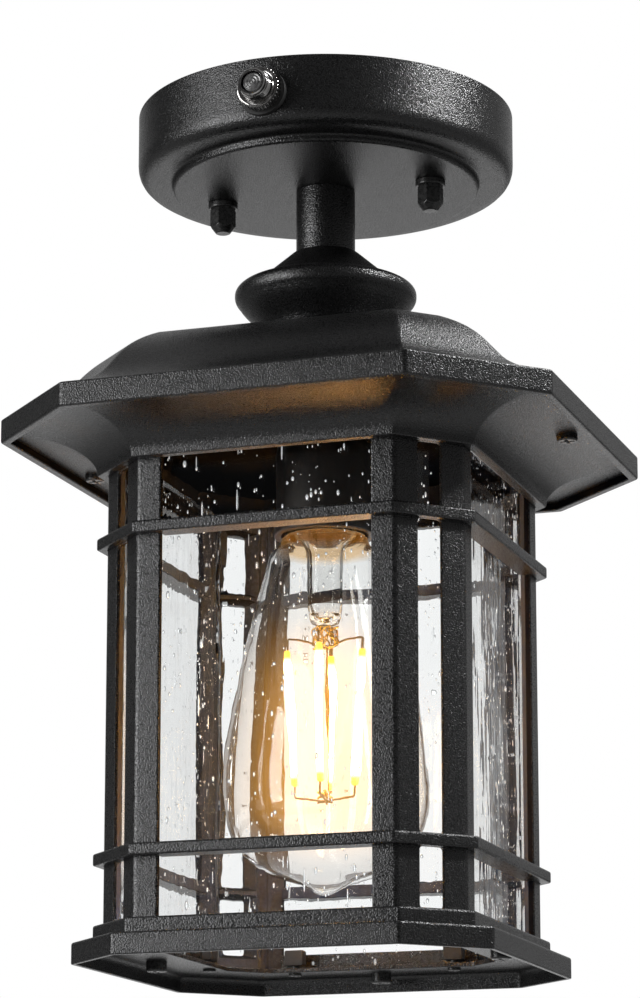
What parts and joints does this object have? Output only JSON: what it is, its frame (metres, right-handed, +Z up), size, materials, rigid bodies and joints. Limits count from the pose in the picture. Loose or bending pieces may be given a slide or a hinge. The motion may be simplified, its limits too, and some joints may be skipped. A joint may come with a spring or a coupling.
{
  "type": "porch ceiling lantern",
  "caption": "Eight-sided outdoor ceiling lantern with an ogee roof, seeded glass, a dusk sensor in its round canopy and a filament bulb changed through the open bottom.",
  "frame": {"origin": "centre of the crossbar's upper face, in the ceiling plane", "axes": "+Z up into the ceiling, the lantern hangs along -Z; -Y is the front, where the sensor is; +X along the crossbar"},
  "size_m": [0.1784, 0.1784, 0.2797],
  "materials": {
    "coat": "matte black powder coat with a fine sand texture",
    "black_fasteners": "satin black",
    "zinc": "zinc plated",
    "green_screw": "green passivated",
    "sensor_black": "dark nickel barrel and housing",
    "gasket_rubber": "soft black",
    "dark_nickel": "knurled, dark nickel",
    "sensor_window": "clear lens over a grey cell",
    "seeded_glass": "clear with small seeds",
    "clip_steel": "black",
    "holder_black": "dark brown phenolic",
    "fibre": "hard fibre",
    "brass": "plain brass",
    "bulb_clear": "clear and smooth",
    "cap_metal": "bright",
    "black_glass": "black glass",
    "phosphor": "yellow, lit",
    "wire": "nickel steel wire"
  },
  "bodies": {
    "fixture": {"canopy": "coat", "stem": "coat", "collar": "coat", "roof": "coat", "soffit": "coat", "post_front_left": "coat", "post_front_right": "coat", "post_back_left": "coat", "post_back_right": "coat", "upper_band": "coat", "lower_band": "coat", "sill_ring": "coat", "base_ring": "coat", "cap_nut_collars": "black_fasteners", "cap_nuts": "black_fasteners", "soffit_screws": "black_fasteners", "base_screws": "black_fasteners", "crossbar": "zinc", "canopy_screws": "zinc", "threaded_pipe": "zinc", "canopy_pipe_washer": "zinc", "canopy_pipe_nut": "zinc", "roof_pipe_washer": "zinc", "roof_pipe_nut": "zinc", "clip_screws": "zinc", "ground_screw": "green_screw", "sensor_body": "sensor_black", "sensor_gasket": "gasket_rubber", "sensor_ring_nut": "dark_nickel", "sensor_lens": "sensor_window", "pane_front": "seeded_glass", "pane_back": "seeded_glass", "pane_left": "seeded_glass", "pane_right": "seeded_glass", "corner_pane_front_left": "seeded_glass", "corner_pane_front_right": "seeded_glass", "corner_pane_back_left": "seeded_glass", "corner_pane_back_right": "seeded_glass", "glass_clips": "clip_steel", "lamp_holder": "holder_black", "holder_insulator": "fibre", "holder_shell": "brass", "holder_contact": "brass"},
    "bulb": {"bulb_glass": "bulb_clear", "bulb_cap": "cap_metal", "bulb_insulator": "black_glass", "bulb_contact": "cap_metal", "bulb_mount": "bulb_clear", "bulb_filaments": "phosphor", "filament_wires": "wire"}
  },
  "joints": [
    {"name": "bulb_out", "type": "slide", "parent": "fixture", "child": "bulb", "axis": [0, 0, -1], "range_m": [0, 0.17]}
  ]
}
